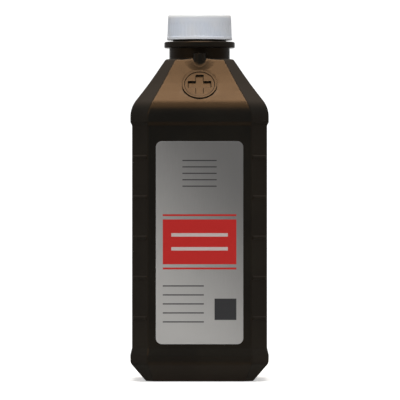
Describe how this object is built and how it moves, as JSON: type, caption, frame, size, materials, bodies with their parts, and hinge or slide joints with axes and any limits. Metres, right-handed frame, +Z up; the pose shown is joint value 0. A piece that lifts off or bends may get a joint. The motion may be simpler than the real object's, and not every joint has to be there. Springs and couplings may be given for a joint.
{
  "type": "solution bottle",
  "caption": "Square dark plastic bottle with cut corners, sloping shoulder, ringed neck, front label, foil seal and lined screw cap; holds and pours liquid.",
  "frame": {"origin": "centre of the base, on the plane that the bottle stands on", "axes": "+Z up along the neck's axis, -Y towards the labelled front, +X to the right as seen from the front"},
  "size_m": [0.065, 0.065, 0.1728],
  "materials": {
    "bottle_plastic": "semi-gloss blow-moulded plastic",
    "label_film": "silver-grey coated label",
    "seal_foil": "thin foil",
    "liner_board": "pressed board",
    "cap_plastic": "satin moulded plastic"
  },
  "bodies": {
    "bottle": {"bottle": "bottle_plastic", "front_label": "label_film"},
    "seal": {"foil_seal": "seal_foil"},
    "liner": {"cap_liner": "liner_board"},
    "cap": {"cap": "cap_plastic"}
  },
  "joints": [
    {"name": "seal_lift", "type": "slide", "parent": "bottle", "child": "seal", "axis": [0, 0, 1], "range_m": [0, 0.045]},
    {"name": "cap_rise", "type": "slide", "parent": "seal", "child": "liner", "axis": [0, 0, 1], "range_m": [0, 0.00475]},
    {"name": "cap_turn", "type": "hinge", "parent": "liner", "child": "cap", "pos_m": [0, 0, 0.167], "axis": [0, 0, 1], "range_deg": [0, 400]}
  ],
  "couplings": [
    {"joint": "cap_rise", "follows": "cap_turn", "m_per_rad": 0.00067373}
  ]
}
